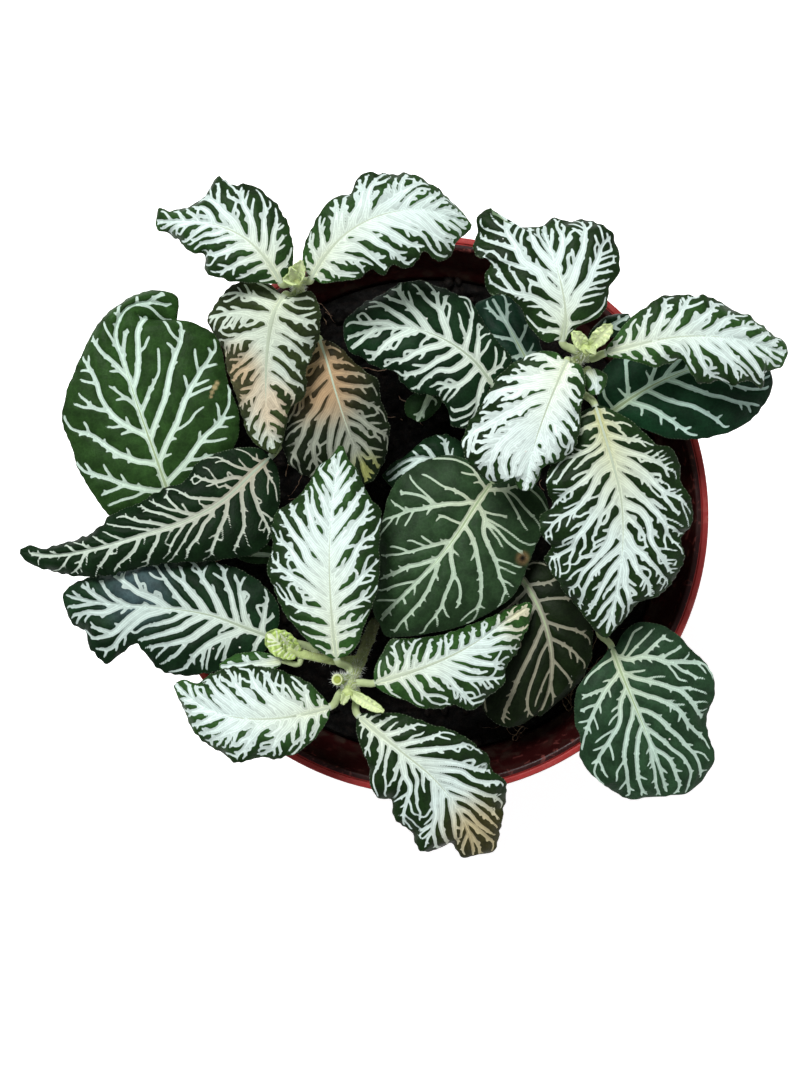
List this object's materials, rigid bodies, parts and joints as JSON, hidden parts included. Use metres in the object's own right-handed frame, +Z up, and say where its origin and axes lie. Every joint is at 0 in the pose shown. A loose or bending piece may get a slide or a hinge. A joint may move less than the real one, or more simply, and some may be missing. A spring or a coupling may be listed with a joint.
{
  "type": "potted nerve plant",
  "caption": "Low bushy foliage plant with white-veined oval leaves on short rooted shoots in a soil-filled tapered plastic pot with a flat outward lip.",
  "frame": {"origin": "centre of the pot's flat underside, on the surface the pot stands on", "axes": "+Z up along the pot's axis; +X to the right and +Y away from someone who looks at the plant, as in the picture"},
  "size_m": [0.156, 0.1363, 0.1445],
  "materials": {
    "pot": "thin brick-red polypropylene, satin, slightly worn",
    "soil": "moist dark peat soil with fine root fibres",
    "stem": "soft pale green stems with fine hairs",
    "leaf_white": "leaf with broad white veins that leave narrow dark green slits and a dark green margin",
    "leaf_mixed": "leaf with a dense net of white veins on dark green",
    "leaf_green": "dark green leaf with narrow pale veins"
  },
  "bodies": {
    "root": {"pot": "pot", "soil": "soil", "stem_back_left": "stem", "stem_back_right": "stem", "stem_front": "stem", "stem_left": "stem", "stem_centre": "stem", "stem_right": "stem", "stem_back": "stem", "leaf_back_left_1": "leaf_white", "leaf_back_left_2": "leaf_white", "leaf_back_left_3": "leaf_white", "leaf_back_left_4": "leaf_white", "leaf_back_left_5": "leaf_mixed", "leaf_back_right_1": "leaf_white", "leaf_back_right_2": "leaf_white", "leaf_back_right_3": "leaf_white", "leaf_back_right_4": "leaf_white", "leaf_back_right_5": "leaf_green", "leaf_back_right_6": "leaf_white", "leaf_back_right_7": "leaf_mixed", "leaf_back_right_8": "leaf_mixed", "leaf_back_right_9": "leaf_green", "leaf_back_right_10": "leaf_green", "leaf_front_1": "leaf_white", "leaf_front_2": "leaf_white", "leaf_front_3": "leaf_white", "leaf_front_4": "leaf_white", "leaf_front_5": "leaf_white", "leaf_front_6": "leaf_mixed", "leaf_left_1": "leaf_green", "leaf_left_2": "leaf_green", "leaf_centre_1": "leaf_green", "leaf_centre_2": "leaf_mixed", "leaf_right_1": "leaf_green", "leaf_back_1": "leaf_green"}
  },
  "joints": []
}
